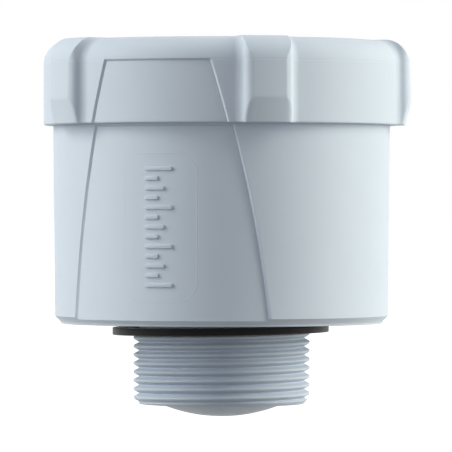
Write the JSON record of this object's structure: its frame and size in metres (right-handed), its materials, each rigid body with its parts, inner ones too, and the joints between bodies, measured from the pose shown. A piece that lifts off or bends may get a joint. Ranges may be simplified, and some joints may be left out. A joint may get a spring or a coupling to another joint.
{
  "type": "radar level transmitter",
  "caption": "Compact battery-powered radar level transmitter: round moulded housing with a lobed screw lid, a flat front panel, and a G 1 1/2 threaded spigot ending in a domed lens.",
  "frame": {"origin": "on the axis, in the sealing plane: the lower face of the process seal", "axes": "+Z along the axis towards the lid, -Y out of the middle of the front panel"},
  "size_m": [0.1004, 0.0995, 0.1018],
  "materials": {
    "grey_plastic": "fine-grained moulded plastic",
    "fitting_plastic": "moulded plastic",
    "seal_rubber": "black sealing rubber",
    "ring_rubber": "dark silicone",
    "nut_metal": "turned",
    "horn_metal": "fine turned",
    "board_green": "solder mask",
    "chip_black": "moulded package",
    "can_metal": "tinned sheet",
    "spacer_brass": "hexagon bar",
    "insert_brass": "knurled",
    "connector_black": "moulded",
    "screw_steel": "passivated",
    "antenna_copper": "flexible strip",
    "card_white": "card",
    "capacitor_blue": "shrink sleeve",
    "tray_grey": "moulded",
    "cell_green": "shrink sleeve",
    "spring_steel": "wire",
    "contact_nickel": "nickel plated",
    "ceramic": "fired ceramic",
    "button_blue": "moulded",
    "plunger_ivory": "moulded",
    "light_clear": "clear resin",
    "guide_clear": "clear rod"
  },
  "bodies": {
    "housing": {"housing_body": "grey_plastic", "process_fitting": "fitting_plastic", "process_seal": "seal_rubber", "fitting_seal": "ring_rubber", "ring_nut": "nut_metal", "radar_horn": "horn_metal", "radar_board": "board_green", "radar_chip": "chip_black", "radar_shield": "can_metal", "board_spacers": "spacer_brass", "board_connector": "connector_black", "main_board": "board_green", "processor_chip": "chip_black", "modem_module": "can_metal", "modem_antenna": "antenna_copper", "sim_holder": "can_metal", "sim_card": "card_white", "buffer_capacitor": "capacitor_blue", "battery_connector": "connector_black", "board_screws": "screw_steel", "threaded_inserts": "insert_brass", "battery_tray": "tray_grey", "battery_cell_left": "cell_green", "battery_cell_right": "cell_green", "battery_springs": "spring_steel", "battery_contacts": "contact_nickel", "tray_screws": "screw_steel", "position_antenna": "ceramic", "start_switch": "chip_black", "status_light": "light_clear", "light_guide": "guide_clear"},
    "lid_seal": {"lid_seal": "ring_rubber"},
    "lid": {"lid": "grey_plastic"},
    "start_button": {"start_button": "button_blue", "switch_plunger": "plunger_ivory"}
  },
  "joints": [
    {"name": "lid_rise", "type": "slide", "parent": "housing", "child": "lid_seal", "axis": [0, 0, 1], "range_m": [0, 0.024]},
    {"name": "lid_turn", "type": "hinge", "parent": "lid_seal", "child": "lid", "pos_m": [0, 0, 0.0763], "axis": [0, 0, 1], "range_deg": [0, 360]},
    {"name": "button_press", "type": "slide", "parent": "housing", "child": "start_button", "axis": [0, 0, -1], "range_m": [0, 0.0005], "stiffness_N_per_m": 2000}
  ],
  "couplings": [
    {"joint": "lid_rise", "follows": "lid_turn", "m_per_rad": 0.0038197}
  ]
}
